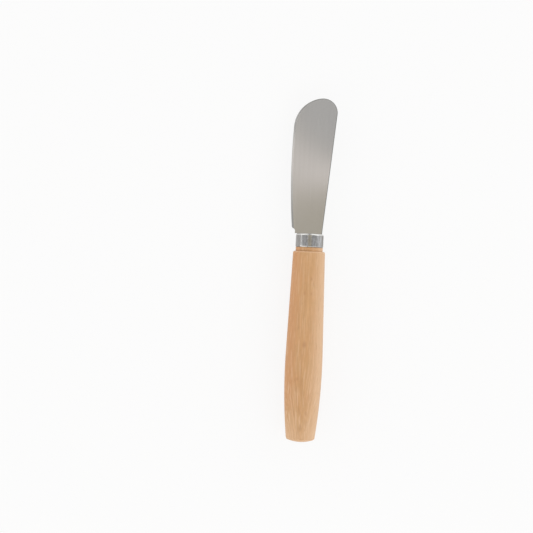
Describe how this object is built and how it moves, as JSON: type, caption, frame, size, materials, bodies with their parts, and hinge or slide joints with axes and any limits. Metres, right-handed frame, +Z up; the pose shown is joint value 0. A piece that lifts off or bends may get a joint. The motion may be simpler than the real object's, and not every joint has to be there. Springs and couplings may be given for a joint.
{
  "type": "butter knife",
  "caption": "Butter knife with a turned wooden handle, a bright metal ferrule and a flat steel blade with a curved spreading edge and a round nose.",
  "frame": {"origin": "on the floor that the handle's belly touches, below the middle of the knife's length and width", "axes": "+Y along the handle's axis towards the blade's tip, +X towards the blade's straight spine, +Z up, square to the blade's flat sides"},
  "size_m": [0.0212, 0.166, 0.018],
  "materials": {
    "beech": "fine sanded, unvarnished, straight grain along the handle",
    "bright_metal": "polished",
    "satin_steel": "satin, finely brushed along the blade",
    "adhesive": "set epoxy, hidden in the handle"
  },
  "bodies": {
    "root": {"handle": "beech", "ferrule": "bright_metal", "blade": "satin_steel", "tang_adhesive": "adhesive"}
  },
  "joints": []
}
